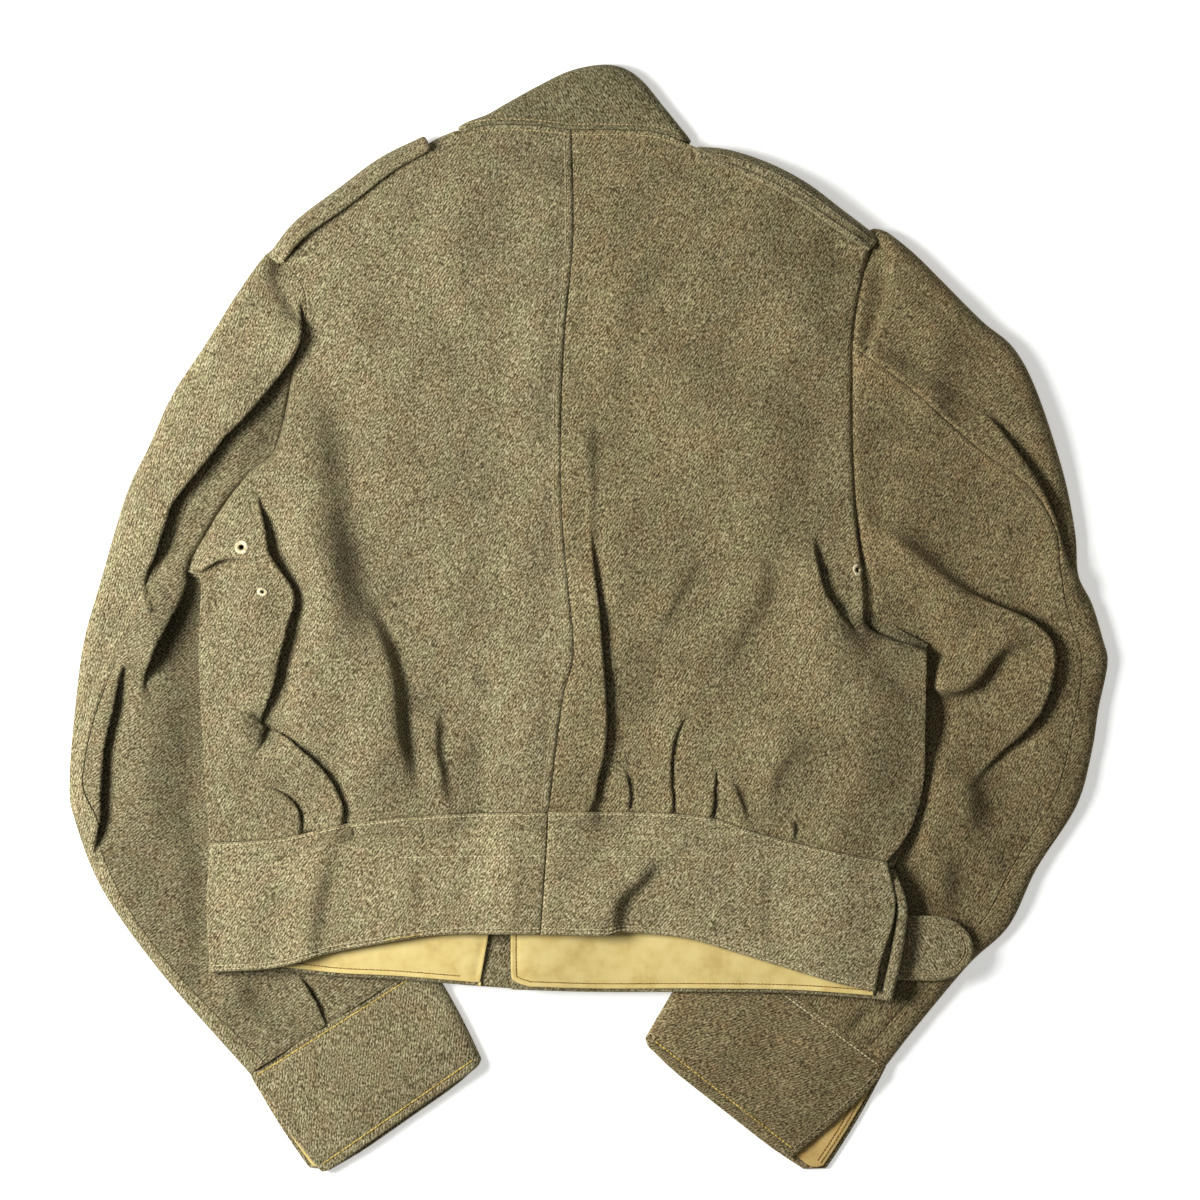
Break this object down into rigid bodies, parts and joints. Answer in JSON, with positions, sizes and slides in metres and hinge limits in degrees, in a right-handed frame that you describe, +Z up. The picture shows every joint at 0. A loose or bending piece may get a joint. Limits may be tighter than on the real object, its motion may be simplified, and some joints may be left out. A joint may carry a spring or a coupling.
{
  "type": "battle dress tunic",
  "caption": "Short wool serge battle dress tunic laid flat with its back up, sleeves drawn in under the body, gathered into a deep waistband, with drill facings",
  "frame": {"origin": "centre of the footprint, on the surface the tunic lies on", "axes": "+X to the wearer's right, +Y towards the collar, +Z up from the surface, through the back"},
  "size_m": [0.6741, 0.7223, 0.0322],
  "materials": {
    "back_left_cloth": "olive brown wool serge, matt with a short nap",
    "back_right_cloth": "olive brown wool serge, matt with a short nap",
    "front_left_cloth": "olive brown wool serge, matt with a short nap",
    "front_right_cloth": "olive brown wool serge, matt with a short nap",
    "left_top_sleeve_cloth": "olive brown wool serge, matt with a short nap",
    "left_under_sleeve_cloth": "olive brown wool serge, matt with a short nap",
    "right_top_sleeve_cloth": "olive brown wool serge, matt with a short nap",
    "right_under_sleeve_cloth": "olive brown wool serge, matt with a short nap",
    "left_cuff_cloth": "olive brown wool serge, matt with a short nap",
    "right_cuff_cloth": "olive brown wool serge, matt with a short nap",
    "waistband_back_left_cloth": "olive brown wool serge, matt with a short nap",
    "waistband_back_right_cloth": "olive brown wool serge, matt with a short nap",
    "waistband_front_left_cloth": "olive brown wool serge, matt with a short nap",
    "waistband_front_right_cloth": "olive brown wool serge, matt with a short nap",
    "waist_tab_cloth": "olive brown wool serge, matt with a short nap",
    "collar_cloth": "olive brown wool serge, matt with a short nap",
    "left_shoulder_strap_cloth": "olive brown wool serge, matt with a short nap",
    "right_shoulder_strap_cloth": "olive brown wool serge, matt with a short nap",
    "left_cuff_facing_cloth": "sand coloured cotton drill, matt",
    "right_cuff_facing_cloth": "sand coloured cotton drill, matt",
    "waistband_facing_left_cloth": "sand coloured cotton drill, matt",
    "waistband_facing_right_cloth": "sand coloured cotton drill, matt"
  },
  "bodies": {
    "root": {"back_left": "back_left_cloth", "back_right": "back_right_cloth", "front_left": "front_left_cloth", "front_right": "front_right_cloth", "left_top_sleeve": "left_top_sleeve_cloth", "left_under_sleeve": "left_under_sleeve_cloth", "right_top_sleeve": "right_top_sleeve_cloth", "right_under_sleeve": "right_under_sleeve_cloth", "left_cuff": "left_cuff_cloth", "right_cuff": "right_cuff_cloth", "waistband_back_left": "waistband_back_left_cloth", "waistband_back_right": "waistband_back_right_cloth", "waistband_front_left": "waistband_front_left_cloth", "waistband_front_right": "waistband_front_right_cloth", "waist_tab": "waist_tab_cloth", "collar": "collar_cloth", "left_shoulder_strap": "left_shoulder_strap_cloth", "right_shoulder_strap": "right_shoulder_strap_cloth", "left_cuff_facing": "left_cuff_facing_cloth", "right_cuff_facing": "right_cuff_facing_cloth", "waistband_facing_left": "waistband_facing_left_cloth", "waistband_facing_right": "waistband_facing_right_cloth"}
  },
  "joints": []
}
